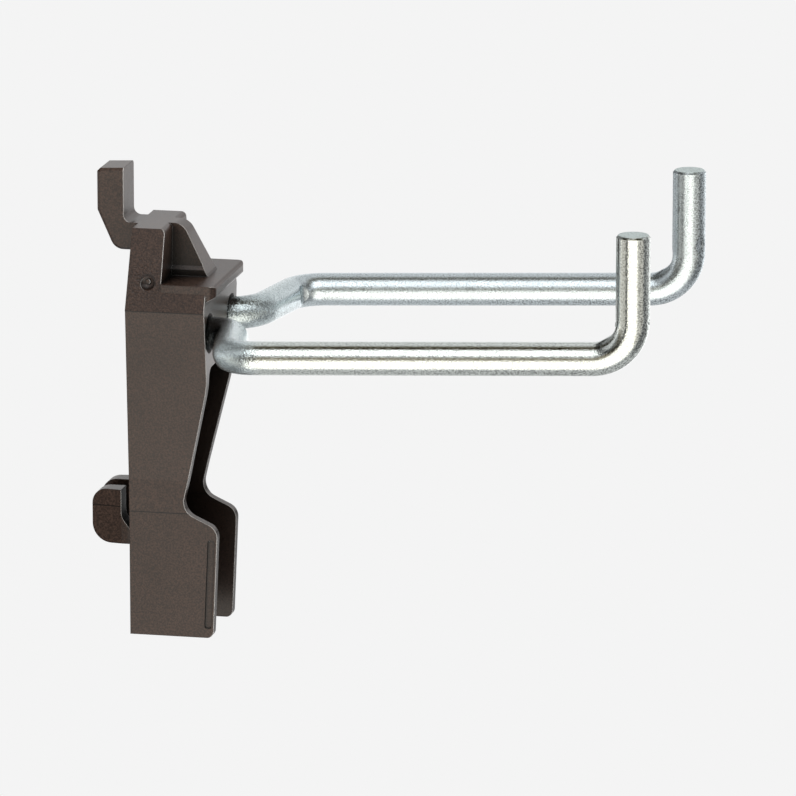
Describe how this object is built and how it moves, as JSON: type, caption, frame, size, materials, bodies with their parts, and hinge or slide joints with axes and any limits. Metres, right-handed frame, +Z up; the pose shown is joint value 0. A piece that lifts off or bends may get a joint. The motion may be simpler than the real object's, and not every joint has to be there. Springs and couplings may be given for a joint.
{
  "type": "perforated panel tool holder",
  "caption": "Tool holder for a perforated panel: a moulded plastic clip with an upper hook and a split snap lug, holding a bent wire with parallel prongs and turned-up ends.",
  "frame": {"origin": "centre of the upper panel hole, on the panel's front face", "axes": "+X out of the panel along the prongs, +Y to the side, +Z up"},
  "size_m": [0.084, 0.05, 0.0672],
  "materials": {
    "clip_plastic": "dark brown-grey moulded plastic, fine matt grain",
    "plated_wire": "bright zinc plating on drawn steel wire"
  },
  "bodies": {
    "root": {"clip_body": "clip_plastic", "prong_wire": "plated_wire"}
  },
  "joints": []
}
